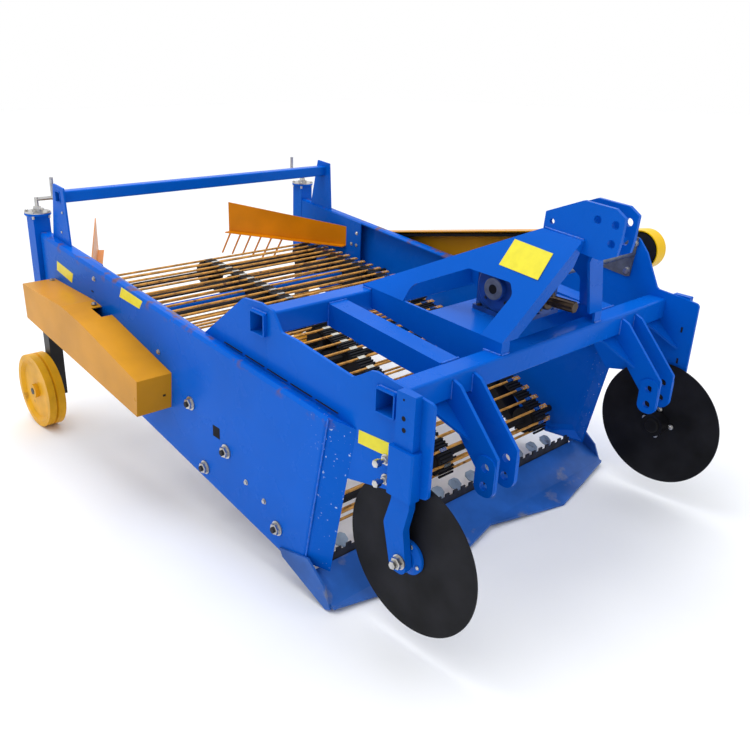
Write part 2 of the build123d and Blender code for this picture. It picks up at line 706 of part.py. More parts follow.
def coulter_shank():
    """Left shank: a flat bar in the sleeve, cranked outwards and rearwards to the disc's pin."""
    x_in = -plate_out - shank_gap
    half = shank_w / 2
    y0, y1 = shank_y - half, shank_y + half
    low = disc_z - 42
    outline = [(y0, shank_top), (y1, shank_top), (y1, sleeve_low - 20), (disc_y + 74, -400),
               (disc_y + 38, low), (disc_y - 30, low), (disc_y - 6, -400), (y0, sleeve_low - 30)]
    blade = side_plate(outline, x_in - shank_t, shank_t, [3, 3, 60, 30, 30, 26, 30, 60])
    pin = rod_x(x_in - shank_t - 20, -disc_x + disc_hub_l - 18, disc_y, disc_z, disc_pin_r)
    return blade + pin


def coulter_disc():
    """Left disc: dished plate on a flanged hub that turns on the shank's pin."""
    hub = rod_x(-disc_x - 4, -disc_x + disc_hub_l - 8, disc_y, disc_z, disc_hub_r)
    disc = rod_x(-disc_x, -disc_x + disc_t, disc_y, disc_z, disc_r)
    bore = rod_x(-deep, 0, disc_y, disc_z, disc_pin_r + clear)
    return hub + disc - bore


def pieces(shape):
    """The solids of a shape or of a list of shapes."""
    group = shape if isinstance(shape, list) else [shape]
    return [solid for item in group for solid in item.solids()]


def twin(shape):
    """The right-hand twin of a left-hand node."""
    return [mirror(solid, Plane.YZ) for solid in pieces(shape)]


middle_nodes = {
    "front_crossbar": crossbar(0, 0),
    "rear_crossbar": crossbar(rear_bar_y, rear_bar_z),
    "frame_beams": [beam(-outer_beam_x), beam(outer_beam_x)],
    "top_clevis": top_clevis(),
    "gearbox": gearbox(),
    "gearbox_mount": gearbox_mount(),
    "input_stub": input_stub(),
    "cross_shaft_housing": cross_shaft_housing(),
    "drive_shaft": drive_shaft(),
    "belt_pulley_front": pulley((shaft_y, shaft_z), pulley_r_front, cross_shaft_r + clear),
    "belt_pulley_rear": pulley(rear_web_ends[1], pulley_r_rear, cross_shaft_r + clear),
    "drive_belt": drive_belt(),
    "belt_guard": belt_guard(),
    "share": share(),
    "share_angle": share_angle(),
    "share_fingers": share_fingers(),
    "front_web": rod_web(*front_web_circles()),
    "rear_web": rod_web(*rear_web_circles()),
    "front_web_rollers": front_rollers(),
    "rear_web_rollers": rear_rollers(),
    "support_rollers": support_rollers(),
    "cross_tubes": cross_tubes(),
    "chain_guard": chain_guard(),
    "rear_stay": rear_stay(),
}
left_nodes = {
    "hitch_plate": hitch_plate(),
    "saddle_side": saddle_side(),
    "mast": mast_side(),
    "lower_clevis": lower_clevis(),
    "side_wall": side_wall(),
    "share_cheek": share_cheek(),
    "rear_post": rear_post(),
    "jack_crank": jack_crank(),
    "wheel_strut": wheel_strut(),
    "wheel": wheel(),
    "rear_upright": upright(),
    "deflector": deflector(),
    "coulter_shank": coulter_shank(),
    "coulter_disc": coulter_disc(),
}

drawn = dict(middle_nodes)
for name, shape in left_nodes.items():
    drawn[name + "_left"] = shape
    drawn[name + "_right"] = twin(shape)
drawn["hitch_plate_right"] = hitch_plate_right()
drawn["side_wall_right"] = side_wall_right()


def pitch_onto(y, z):
    """Pitch at which the point (y, z) and the wheels stand on one floor, in degrees."""
    run = Vector(post_y - y, wheel_z - z)
    return degrees(asin(wheel_r / run.length) - atan2(run.Y, run.X))


# The machine is pitched until its wheels and its lowest share point stand on one floor
park_pitch = max(pitch_onto(share_lobe[1], share_front_z - share_t), pitch_onto(*cheek_outline[0]))
pitched = {name: [Rot(park_pitch, 0, 0) * solid for solid in pieces(shape)]
           for name, shape in drawn.items()}
extent = Compound(children=[s for group in pitched.values() for s in group]).bounding_box()
park = Pos(-extent.center().X, -extent.center().Y, -extent.min.Z) * Rot(park_pitch, 0, 0)
nodes = {name: [park * solid for solid in pieces(shape)] for name, shape in drawn.items()}


if __name__ == "__main__":
    os.makedirs("parts", exist_ok=True)
    for name, solids in nodes.items():
        export_step(Compound(children=solids), f"parts/{name}.step")
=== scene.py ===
"""Looks of the two-row potato harvester: materials, small parts, floor, light and camera.

Small parts are placed in the hitch frame of the part's source, in millimetres: X across, Y rearwards,
Z up, zero on the front crossbar's upper front edge. place() takes such a point to the shared frame.
"""
import bmesh
import bpy
import json
import random
from math import cos, pi, radians, sin
from mathutils import Matrix, Vector


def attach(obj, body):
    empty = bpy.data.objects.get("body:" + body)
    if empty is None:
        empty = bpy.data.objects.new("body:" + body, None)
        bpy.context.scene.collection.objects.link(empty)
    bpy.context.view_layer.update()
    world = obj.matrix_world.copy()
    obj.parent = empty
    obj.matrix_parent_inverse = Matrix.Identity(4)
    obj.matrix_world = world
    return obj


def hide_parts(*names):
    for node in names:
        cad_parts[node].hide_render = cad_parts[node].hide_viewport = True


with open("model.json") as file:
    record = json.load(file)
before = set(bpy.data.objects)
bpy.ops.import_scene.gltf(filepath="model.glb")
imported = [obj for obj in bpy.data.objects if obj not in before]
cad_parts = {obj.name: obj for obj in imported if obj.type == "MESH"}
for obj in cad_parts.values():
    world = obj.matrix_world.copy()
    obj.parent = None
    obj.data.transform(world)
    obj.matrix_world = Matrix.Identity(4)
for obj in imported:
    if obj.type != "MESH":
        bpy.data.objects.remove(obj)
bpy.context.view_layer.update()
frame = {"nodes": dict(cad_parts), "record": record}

PITCH = Matrix.Rotation(radians(2.9069873), 3, "X")   # the machine stands pitched on its share
ZERO = Vector((0.018, -1.158745, 0.828003))           # the hitch frame's zero, in metres
AX, AY, AZ = Vector((1, 0, 0)), Vector((0, 1, 0)), Vector((0, 0, 1))

# Places in the hitch frame, in millimetres
WALL, PLATE = 785, 736                # outer faces of the walls and hitch plates
POST_X, POST_Y, POST_TOP = 766, 2316, 93
DISC_Y, DISC_Z = -67, -503            # the coulter discs' axis
SHAFT_Y, SHAFT_Z = 178, 148           # the cross shaft's axis
STUB_Z = 120                          # the input stub's axis
BAR, REAR_Y, REAR_Z = 80, 605, 65     # the square tubes' side, and the rear crossbar's front upper edge
SADDLE_X, SADDLE_Z, SADDLE_SLOPE = 279, 39.4375, 0.05625   # half width, height at Y 0 and slope
WHEEL_Z = -764
WALL_TOP, WALL_SLOPE = (236, -152), 0.078   # front end and slope of the walls' upper edge
LEVEL_AT_0, LEVEL_SLOPE = 0.8223, 0.1295    # the same edge in the shared frame, in metres
random.seed(7)


def place(point):
    """A point of the hitch frame, in metres in the shared frame."""
    return PITCH @ (Vector(point) / 1000) + ZERO


def added(name, data):
    """A new object in the scene, with its mesh, light or camera."""
    obj = bpy.data.objects.new(name, data)
    bpy.context.scene.collection.objects.link(obj)
    return obj


# Materials
def material(name, colour, rough, metal=0.0, coat=0.0, spread=0.12, scale=9.0, second=None,
             second_scale=3.0, second_from=0.62, bump=0.02, bump_scale=260.0, gleam=0.3):
    """A surface whose colour and gloss vary with noise, with a second colour in patches."""
    mat = bpy.data.materials.new(name)
    mat.use_nodes = True
    tree = mat.node_tree
    shader = tree.nodes["Principled BSDF"]
    shader.inputs["Metallic"].default_value = metal
    shader.inputs["Coat Weight"].default_value = coat
    shader.inputs["Coat Roughness"].default_value = 0.12
    shader.inputs["Specular IOR Level"].default_value = gleam
    where = tree.nodes.new("ShaderNodeTexCoord")
    mix = mixer(tree, noise(tree, where, scale, 5), 0.35, 0.65,
                [c * (1 - spread) for c in colour], [min(1, c * (1 + spread)) for c in colour])
    if second:
        patch = ramp(tree, noise(tree, where, second_scale, 9), second_from, second_from + 0.08)
        mix = blend(tree, patch, mix, second)
    tree.links.new(mix, shader.inputs["Base Color"])
    gloss = tree.nodes.new("ShaderNodeMapRange")
    gloss.inputs["To Min"].default_value = max(0.02, rough - 0.07)
    gloss.inputs["To Max"].default_value = min(1, rough + 0.09)
    tree.links.new(noise(tree, where, scale * 2.3, 6), gloss.inputs["Value"])
    tree.links.new(gloss.outputs["Result"], shader.inputs["Roughness"])
    bumper = tree.nodes.new("ShaderNodeBump")
    bumper.inputs["Strength"].default_value = bump
    bumper.inputs["Distance"].default_value = 0.001
    tree.links.new(noise(tree, where, bump_scale, 2), bumper.inputs["Height"])
    tree.links.new(bumper.outputs["Normal"], shader.inputs["Normal"])
    return mat


def noise(tree, where, scale, detail):
    """Noise fixed to the surface, from 0 to 1."""
    node = tree.nodes.new("ShaderNodeTexNoise")
    node.inputs["Scale"].default_value = scale
    node.inputs["Detail"].default_value = detail
    tree.links.new(where.outputs["Object"], node.inputs["Vector"])
    return node.outputs["Fac"]


def ramp(tree, value, first, second):
    """0 at the first of two values, 1 at the second, and even in between."""
    node = tree.nodes.new("ShaderNodeMapRange")
    node.inputs["From Min"].default_value = first
    node.inputs["From Max"].default_value = second
    tree.links.new(value, node.inputs["Value"])
    return node.outputs["Result"]


def blend(tree, factor, under, over):
    """A colour socket with a plain colour laid over it by a factor."""
    node = tree.nodes.new("ShaderNodeMix")
    node.data_type = "RGBA"
    tree.links.new(factor, node.inputs["Factor"])
    tree.links.new(under, node.inputs[6])
    node.inputs[7].default_value = (*over, 1)
    return node.outputs[2]


def mixer(tree, value, low, high, dark, light):
    """From the dark colour at the low value to the light one at the high value."""
    node = tree.nodes.new("ShaderNodeValToRGB")
    node.color_ramp.elements[0].position = low
    node.color_ramp.elements[1].position = high
    node.color_ramp.elements[0].color = (*dark, 1)
    node.color_ramp.elements[1].color = (*light, 1)
    tree.links.new(value, node.inputs["Fac"])
    return node.outputs["Color"]


def calculate(tree, operation, *values):
    """A math node whose inputs are sockets or plain numbers."""
    node = tree.nodes.new("ShaderNodeMath")
    node.operation = operation
    for socket, value in zip(node.inputs, values):
        if isinstance(value, float):
            socket.default_value = value
        else:
            tree.links.new(value, socket)
    return node.outputs[0]


def opened(mat):
    """What a further layer of colour needs: tree, colour socket, coordinates and their X, Y and Z."""
    tree = mat.node_tree
    where = next(node for node in tree.nodes if node.type == "TEX_COORD")
    split = tree.nodes.new("ShaderNodeSeparateXYZ")
    tree.links.new(where.outputs["Object"], split.inputs["Vector"])
    return tree, tree.nodes["Principled BSDF"].inputs["Base Color"], where, split.outputs


BLUE = (0.001, 0.106, 0.55)
OCHRE = (0.60, 0.26, 0.010)
BRIGHT_YELLOW = (0.87, 0.52, 0.002)
SCUFF = (0.16, 0.075, 0.05)
PALE_FLECK = (0.45, 0.58, 0.80)
mats = {
    "blue_paint": material("blue_paint", BLUE, 0.26, coat=0.03, spread=0.08, scale=2.2, gleam=0.05),
    "ochre_guard": material("ochre_guard", OCHRE, 0.3, coat=0.05, spread=0.1, scale=4, gleam=0.12),
    "yellow_paint": material("yellow_paint", (0.74, 0.37, 0.012), 0.38, coat=0.04, gleam=0.12,
                             second=(0.36, 0.15, 0.02), second_scale=12, second_from=0.66),
    "deflector_paint": material("deflector_paint", (0.63, 0.20, 0.001), 0.33, coat=0.04, scale=4, gleam=0.1),
    "belt_rubber": material("belt_rubber", (0.012, 0.012, 0.014), 0.62, spread=0.3, bump=0.1, gleam=0.15),
    "rod_steel": material("rod_steel", (0.62, 0.30, 0.06), 0.4, metal=0.1, spread=0.3, scale=26,
                          second=(0.22, 0.09, 0.025), second_scale=34, second_from=0.6),
    "zinc_steel": material("zinc_steel", (0.52, 0.51, 0.49), 0.3, metal=1.0, spread=0.15, scale=40),
    "black_paint": material("black_paint", (0.012, 0.012, 0.014), 0.42, spread=0.25, scale=12),
    "disc_steel": material("disc_steel", (0.008, 0.008, 0.010), 0.5, spread=0.5, scale=7, bump=0.08,
                           gleam=0.12),
    "web_rubber": material("web_rubber", (0.014, 0.014, 0.016), 0.6, spread=0.3, bump=0.1, gleam=0.15),
    "bright_shaft": material("bright_shaft", (0.05, 0.032, 0.02), 0.34, metal=0.7, spread=0.25, scale=50),
    "pulley_iron": material("pulley_iron", (0.02, 0.02, 0.024), 0.5, metal=0.4, spread=0.3),
    "share_steel": material("share_steel", (0.38, 0.46, 0.50), 0.35, metal=0.4, spread=0.2, scale=14,
                            second=(0.20, 0.22, 0.24), second_scale=22, second_from=0.6),
}
weld = material("weld_paint", (0.006, 0.12, 0.60), 0.3, coat=0.2, spread=0.2, scale=60, bump=0.5,
                bump_scale=420)
tooth_black = material("tooth_strip", (0.02, 0.02, 0.026), 0.45, spread=0.4, scale=30)
grey_plate = material("grey_plate", (0.16, 0.17, 0.19), 0.4, metal=0.6, spread=0.2, scale=30)
label = material("label_sheet", (0.80, 0.70, 0.025), 0.34, spread=0.05, scale=30)
# Near black: painted shade inside holes, slots, the bearing's bore and the open wall joint
hole = material("painted_shade_black", (0.006, 0.006, 0.008), 0.9, spread=0.5)
bright = material("clip_steel", (0.66, 0.64, 0.58), 0.24, metal=1.0, spread=0.2, scale=60)


def worn_wall():
    """Blue paint with brown scuffs along the wall's upper edge and pale blue flecks on its bent front edge.
    """
    mat = material("worn_wall", BLUE, 0.26, coat=0.03, spread=0.08, scale=2.2, gleam=0.05)
    tree, colour, where, axes = opened(mat)
    paint = colour.links[0].from_socket
    height = calculate(tree, "MULTIPLY_ADD", axes["Y"], -LEVEL_SLOPE, axes["Z"])
    edge = ramp(tree, height, LEVEL_AT_0 - 0.055, LEVEL_AT_0 - 0.02)
    scuff = calculate(tree, "MULTIPLY", edge, ramp(tree, noise(tree, where, 17, 12), 0.56, 0.66))
    worn = blend(tree, calculate(tree, "MULTIPLY", scuff, 0.8), paint, SCUFF)
    front = ramp(tree, axes["Y"], -0.80, -0.90)
    pale_flecks = calculate(tree, "MULTIPLY", front, ramp(tree, noise(tree, where, 85, 2), 0.68, 0.72))
    tree.links.new(blend(tree, pale_flecks, worn, PALE_FLECK), colour)
    return mat


def two_tone_guard():
    """Ochre along the belt, and bright yellow round the front pulley."""
    mat = material("belt_guard_paint", OCHRE, 0.3, coat=0.03, spread=0.1, scale=4, gleam=0.1)
    tree, colour, _, axes = opened(mat)
    paint = colour.links[0].from_socket
    front = ramp(tree, axes["Y"], -0.90, -0.93)
    tree.links.new(blend(tree, front, paint, BRIGHT_YELLOW), colour)
    return mat


# Paint of the solids: some have their own, and the others that of their slot
wall_paint = worn_wall()
share_paint = material("share_paint", (0.02, 0.11, 0.42), 0.34, coat=0.05, spread=0.25, scale=5, gleam=0.2,
                       second=(0.16, 0.19, 0.30), second_scale=9, second_from=0.6)
# Darker blue than the frame's for the gearbox casting: painted shade, since it stands in shadow
shaded_cast_paint = material("shaded_cast_paint", (0.006, 0.05, 0.24), 0.42, spread=0.3, scale=20, bump=0.3,
                      bump_scale=140)
own_paint = {
    "gearbox": shaded_cast_paint,
    "share": share_paint,
    "share_cheek_left": share_paint,
    "share_cheek_right": share_paint,
    "side_wall_left": wall_paint,
    "side_wall_right": wall_paint,
    "belt_guard": two_tone_guard(),
    "share_angle": tooth_black,
}
slot_of = {part["node"]: part["material_slot"] for part in frame["record"]["subparts"]}
for name, obj in frame["nodes"].items():
    chosen = own_paint.get(name, mats[slot_of[name]])
    for used in obj.material_slots:
        used.material = chosen
    if not obj.material_slots:
        obj.data.materials.append(chosen)


# Small solids
BOX_FACES = [(0, 1, 3, 2), (4, 6, 7, 5), (0, 4, 5, 1), (2, 3, 7, 6), (0, 2, 6, 4), (1, 5, 7, 3)]


class Form:
    """Collects faces in the hitch frame and makes one piece of them."""

    def __init__(self):
        self.points, self.faces, self.smooth = [], [], []

    def add(self, points, faces, smooth=False):
        base = len(self.points)
        self.points += [Vector(p) for p in points]
        self.faces += [[base + i for i in face] for face in faces]
        self.smooth += [smooth] * len(faces)

    def box(self, x, y, z):
        """A box from three (low, high) pairs."""
        self.add([(a, b, c) for a in x for b in y for c in z], BOX_FACES)

    def block(self, middle, axes, half):
        """A box with its own three axes and half sizes."""
        m = Vector(middle)
        points = [m + axes[0] * half[0] * a + axes[1] * half[1] * b + axes[2] * half[2] * c
                  for a in (-1, 1) for b in (-1, 1) for c in (-1, 1)]
        self.add(points, BOX_FACES)

    def prism(self, low, high):
        """A plate between two outlines with the same number of points."""
        n = len(low)
        sides = [(i, (i + 1) % n, n + (i + 1) % n, n + i) for i in range(n)]
        self.add(list(low) + list(high), [tuple(range(n - 1, -1, -1)), tuple(range(n, 2 * n))] + sides)

    def slab(self, x, outline):
        """A flat plate: a (Y, Z) outline between two places across."""
        self.prism(*[[(a, y, z) for y, z in outline] for a in x])

    def hexagon(self, at, axis, radius, high, tip):
        """A hexagonal bolt end or nut, chamfered over its last 2 mm."""
        self.turned(at, axis, [(0, radius), (high - 2, radius), (high, tip)], 6, False)

    def turned(self, start, axis, profile, sides=24, smooth=True, turn=0.0):
        """A body of revolution from (distance along the axis, radius) pairs, closed at both ends."""
        axis = Vector(axis).normalized()
        u = axis.orthogonal().normalized()
        v = axis.cross(u)
        points, faces = [], []
        for along, radius in profile:
            for i in range(sides):
                a = 2 * pi * i / sides + turn
                points.append(Vector(start) + axis * along + (u * cos(a) + v * sin(a)) * radius)
        for k in range(len(profile) - 1):
            for i in range(sides):
                j = (i + 1) % sides
                faces.append((k * sides + i, k * sides + j, (k + 1) * sides + j, (k + 1) * sides + i))
        self.add(points, faces, smooth)
        last = (len(profile) - 1) * sides
        self.add(points[:sides], [tuple(range(sides - 1, -1, -1))])
        self.add(points[last:], [tuple(range(sides))])

    def disc(self, at, axis, radius, thick, sides=24):
        self.turned(at, axis, [(0, radius), (thick, radius)], sides)

    def rod(self, start, end, radius, sides=12):
        run = Vector(end) - Vector(start)
        self.turned(start, run, [(0, radius), (run.length, radius)], sides)

    def bolt(self, at, axis, size=9.0, washer=True, high=None):
        """A hexagon head with its washer; size is half the head's width over corners."""
        high = high or size * 0.7
        base = 0.0
        if washer:
            self.turned(at, axis, [(0, size * 1.35), (size * 0.2, size * 1.35)], 18)
            base = size * 0.2
        self.turned(at, axis, [(base, size), (base + high * 0.8, size), (base + high, size * 0.86)], 6, False,
                    random.uniform(0, 1))

    def nut(self, at, axis, size=9.0, stud=9.0):
        """A nut with its washer, and the end of the bolt that stands out of it."""
        self.bolt(at, axis, size)
        axis = Vector(axis).normalized()
        self.turned(Vector(at) + axis * size * 0.8, axis, [(0, size * 0.52), (stud, size * 0.5)], 12)

    def bead(self, points, radius=4.0, sides=7):
        """A weld bead: a lumpy half-round line along points."""
        line = []
        for a, b in zip(points, points[1:]):
            a, b = Vector(a), Vector(b)
            count = max(2, int((b - a).length / 6))
            line += [a.lerp(b, i / count) for i in range(count)]
        line.append(Vector(points[-1]))
        rings = []
        for i, p in enumerate(line):
            run = (line[min(i + 1, len(line) - 1)] - line[max(i - 1, 0)]).normalized()
            u = run.orthogonal().normalized()
            v = run.cross(u)
            r = radius * random.uniform(0.72, 1.12)
            angles = [2 * pi * k / sides for k in range(sides)]
            rings.append([p + (u * cos(a) + v * sin(a)) * r for a in angles])
        faces = []
        for i in range(len(rings) - 1):
            for k in range(sides):
                a, b = i * sides, (i + 1) * sides
                j = (k + 1) % sides
                faces.append((a + k, a + j, b + j, b + k))
        self.add([p for ring in rings for p in ring], faces, True)

    def piece(self, name, mat, body="frame", slot="zinc_steel", stands_for=()):
        """Makes the faces one piece of a body, in place of the nodes that it stands for."""
        mesh = bpy.data.meshes.new(name)
        mesh.from_pydata([place(p) for p in self.points], [], self.faces)
        mesh.polygons.foreach_set("use_smooth", self.smooth)
        mesh.materials.append(mat)
        mesh.update()
        obj = added(name, mesh)
        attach(obj, body)
        if stands_for:
            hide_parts(*stands_for)
        return obj


def circle(centre, radius, count, start=0.0):
    """Evenly spaced places round a circle, as pairs in its own plane."""
    turns = [2 * pi * (i + start) / count for i in range(count)]
    return [(centre[0] + radius * cos(a), centre[1] + radius * sin(a)) for a in turns]


def hull(centres, radii):
    """Convex outline round circles in the (Y, Z) plane."""
    cloud = sorted((y + r * cos(a), z + r * sin(a)) for (y, z), r in zip(centres, radii)
                   for a in (2 * pi * i / 144 for i in range(144)))

    def half(points):
        chain = []
        for p in points:
            while len(chain) > 1 and ((chain[-1][0] - chain[-2][0]) * (p[1] - chain[-2][1])
                                      - (chain[-1][1] - chain[-2][1]) * (p[0] - chain[-2][0])) <= 0:
                chain.pop()
            chain.append(p)
        return chain[:-1]

    return half(cloud) + half(cloud[::-1])


def along(loop, pitch):
    """Places and directions every pitch or so round a closed loop."""
    lengths = [((a[0] - b[0]) ** 2 + (a[1] - b[1]) ** 2) ** 0.5 for a, b in zip(loop, loop[1:] + loop[:1])]
    total = sum(lengths)
    count = int(total / pitch)
    out, k, run = [], 0, 0.0
    for i in range(count):
        want = total * i / count
        while run + lengths[k] < want:
            run += lengths[k]
            k += 1
        a, b = loop[k], loop[(k + 1) % len(loop)]
        t = (want - run) / lengths[k]
        step = Vector((0, b[0] - a[0], b[1] - a[1])).normalized()
        out.append((a[0] + (b[0] - a[0]) * t, a[1] + (b[1] - a[1]) * t, step))
    return out


def band(form, loop, inner, x_low, x_high):
    """A flat belt round a loop, from its outer and inner outlines."""
    outer_run, inner_run = along(loop, 12), along(inner, 12)
    count = min(len(outer_run), len(inner_run))
    points = []
    for i in range(count):
        y, z, _ = outer_run[int(i * len(outer_run) / count)]
        near = min(inner, key=lambda p: (p[0] - y) ** 2 + (p[1] - z) ** 2)
        points += [(x_low, y, z), (x_high, y, z), (x_high, near[0], near[1]), (x_low, near[0], near[1])]
    faces = []
    for i in range(count):
        a, b = 4 * i, 4 * ((i + 1) % count)
        for k in range(4):
            faces.append((a + k, a + (k + 1) % 4, b + (k + 1) % 4, b + k))
    form.add(points, faces)


# Rod webs
ROD, ROD_HALF, ROD_PITCH = 5.5, 690, 60    # radius, half length and spacing of the rods
FLAT, FLAT_UP = 46, 3.2                    # length and half thickness of a rod's flattened end
BELTS, BELT_T = (-620, 0, 620), 9          # the belts' places across, and their thickness
WEB_RADII = [64, 64, 45, 45]               # the loop's radii round its two end and two support rollers
FRONT_WEB = [(490, -662), (1200, -366), (791, -492), (1020, -386)]
REAR_WEB = [(1362, -306), (2110, -265), (1620, -268), (1860, -254)]


def rod_web(name, centres, belt_w, lugs):
    """One web's rods, belts and clips; lugs says at which quarters of the spacing the belts have one."""
    rods, belts, clips = Form(), Form(), Form()
    loop = hull(centres, WEB_RADII)
    inner = hull(centres, [r - BELT_T for r in WEB_RADII])
    count = len(centres)
    heart = Vector((0, sum(y for y, _ in centres) / count, sum(z for _, z in centres) / count))
    for x in BELTS:
        band(belts, loop, inner, x - belt_w / 2, x + belt_w / 2)
    for y, z, step in along(loop, ROD_PITCH):
        p = Vector((0, y, z))
        up = AX.cross(step)
        if up.dot(p - heart) < 0:
            up = -up
        axes = (AX, step, up)
        rods.rod(p - AX * (ROD_HALF - FLAT), p + AX * (ROD_HALF - FLAT), ROD)
        for side in (-1, 1):
            rods.block(p + AX * side * (ROD_HALF - FLAT / 2 - 1), axes, (FLAT / 2 + 1, 9, FLAT_UP))
            for out in (12, 34):
                rivet = p + AX * side * (ROD_HALF - out) + up * FLAT_UP
                clips.turned(rivet, up, [(0, 4.2), (1.6, 3.2)], 8)
        for x in BELTS:
            clips.block(p + AX * x + up * (ROD - 0.4), axes, (20, 7.5, 1.2))
            for out in (-27, 27):
                clips.turned(p + AX * (x + out) + up, up, [(0, 5.5), (3, 4.4)], 8)
            for k in lugs:
                belts.block(p + AX * x + step * (k * ROD_PITCH / 4) + up * 2.4, axes, (belt_w / 2, 3.4, 3.6))
    rods.piece(f"{name}_web_rods", mats["rod_steel"], slot="rod_steel", stands_for=(f"{name}_web",))
    belts.piece(f"{name}_web_belts", mats["belt_rubber"], slot="belt_rubber")
    clips.piece(f"{name}_web_clips", bright)


rod_web("front", FRONT_WEB, 84, (1, 2, 3))
rod_web("rear", REAR_WEB, 64, ())

# Bolts and nuts of the frame, and dark patches as painted shade in its holes and slots
RETURN_ROLLER = (936, -619)
ROLLER_SHAFTS = (*FRONT_WEB[2:], RETURN_ROLLER, FRONT_WEB[0])
WALL_BOLTS = ((671, -565), (565, -592), (1240, -250), (1747, -82), (1620, -330))
WALL_HOLES = (((831, 875), (-462, -418)), ((1765, 1785), (-146, -140)))    # a square one and a slot
PLATE_T = 10
PLATE_SLOTS = ((-86, -102), (-92, -229), (-19, -227))
SLEEVE_X = 762.2        # outer face of the coulter shank's sleeve
SLEEVE_HOLES = ((-50, -49, 7.5, 20), (-53, -83, 7.5, 20), (-47, 6, 3.5, 12))    # Y, Z, radius and sides
CLAMP_BOLTS = ((35, -219), (32, -283))
UPRIGHT_X, UPRIGHT_BOLTS = 750, ((2105, 40), (2150, -20), (2080, 130))
DEFLECTOR_X, DEFLECTOR_SCREWS = 730.6, ((1800, -95), (1800, -160), (1840, -160))
JACK_BOLT = 36.25       # from the jack's axis to its flange bolts, along X and Y
bolts, dark, grey = Form(), Form(), Form()


def wall_fittings(side):
    """The shafts' ends with their nuts on one wall, its bolts, dark patches as painted shade in its holes,
    and the bolts in its window.
    """
    out = AX * side
    face = side * WALL
    for y, z in ROLLER_SHAFTS:
        bolts.disc((side * (WALL + 0.5), y, z), out, 27, 4)
        bolts.hexagon((side * (WALL + 4), y, z), out, 21, 15, 19)
        grey.turned((side * (WALL + 18), y, z), out, [(0, 11), (7, 11), (8, 9)], 14)
    for y, z in WALL_BOLTS:
        bolts.bolt((face, y, z), out, 8)
    # dark patches: painted shade inside the holes
    for y, z in WALL_HOLES:
        dark.box((face - side * 0.5, face + side * 0.6), y, z)
    for z in (-95, -190):
        bolts.bolt((side * (PLATE + 6), 2200, z), out, 9)


def jack_fittings(side):
    """One jack's flange plate with its bolts, and the screw's collar."""
    post = side * POST_X
    bolts.disc((post, POST_Y, POST_TOP), AZ, 57, 4, 40)
    for x in (-JACK_BOLT, JACK_BOLT):
        for y in (-JACK_BOLT, JACK_BOLT):
            bolts.bolt((post + x, POST_Y + y, POST_TOP + 4), AZ, 7)
            bolts.turned((post + x, POST_Y + y, POST_TOP - 9), -AZ, [(0, 6), (14, 6)], 6, False)
    bolts.hexagon((post, POST_Y, POST_TOP + 14), AZ, 17, 14, 12)


def hitch_plate_holes(side):
    """Dark patches as painted shade in the slots on both faces of one hitch plate and in the holes of its
    coulter sleeve.
    """
    for y, z in PLATE_SLOTS:
        for x in (side * PLATE, side * (PLATE - PLATE_T)):
            dark.box((x - 0.6, x + 0.6), (y - 4, y + 4), (z - 11, z + 11))
    for y, z, radius, sides in SLEEVE_HOLES:
        dark.disc((side * SLEEVE_X, y, z), AX * side, radius, 0.7, sides)


def coulter_fittings(side):
    """Clamp bolts of one coulter's shank, and the nut on its disc's axle."""
    out = AX * side
    for y, z in CLAMP_BOLTS:
        bolts.nut((side * PLATE, y, z), out, 13, 30)
        bolts.hexagon((side * (PLATE + 26), y, z), out, 12.5, 20, 11)
    bolts.disc((side * (PLATE + 26.5), DISC_Y, DISC_Z), out, 24, 4)
    bolts.hexagon((side * (PLATE + 30), DISC_Y, DISC_Z), out, 20, 17, 17)
    bolts.hexagon((side * (PLATE + 46), DISC_Y, DISC_Z), out, 13, 14, 11)


def wall_joint(side):
    """Dark strips along the open joint between a wall's folded top and its hitch plate, in lengths between
    tack welds: painted shade in the gap.
    """
    run = Vector((0, 1, WALL_SLOPE)).normalized()
    for k in range(5):
        y = 300 + 125 * k
        middle = (side * 739, y, WALL_TOP[1] + (y - WALL_TOP[0]) * WALL_SLOPE + 0.2)
        # painted shade in the gap
        dark.block(middle, (AX, run, AX.cross(run)), (2.6, 54, 0.5))


for side in (-1, 1):
    wall_fittings(side)
    jack_fittings(side)
    hitch_plate_holes(side)
    coulter_fittings(side)
    for y, z in UPRIGHT_BOLTS:
        bolts.bolt((side * UPRIGHT_X, y, z), AX * side, 6, False)
for side in (-1, 1):
    for y, z in DEFLECTOR_SCREWS:
        bolts.bolt((side * DEFLECTOR_X, y, z), AX * -side, 7)
    wall_joint(side)
# Screws of the chain guard, and a dark patch as painted shade in its slot
for y, z in ((2136, -177.5), (1725, -182.5)):
    bolts.bolt((-806, y, z), AZ, 9)
dark.box((-822, -810), (1159.5, 1160.4), (-400, -378))
bolts.piece("bolt_heads", mats["zinc_steel"])
# dark patches and strips: painted shade in holes, slots and the wall joint
dark.piece("painted_shade_patches", hole, slot="black_paint")
grey.piece("shaft_ends", mats["pulley_iron"], slot="pulley_iron")

# Hub bolts, flanges and caps, which turn with the wheels and discs
WHEEL_FACE = 872
DISC_AXIS = (DISC_Y, DISC_Z)


def wheel_hub(name, side):
    """Five bolts on one wheel's outer face."""
    hub = Form()
    for y, z in circle((POST_Y, WHEEL_Z), 26, 5):
        hub.bolt((side * WHEEL_FACE, y, z), AX * side, 6, False)
    hub.piece(f"wheel_hub_{name}", mats["zinc_steel"], f"wheel_{name}")


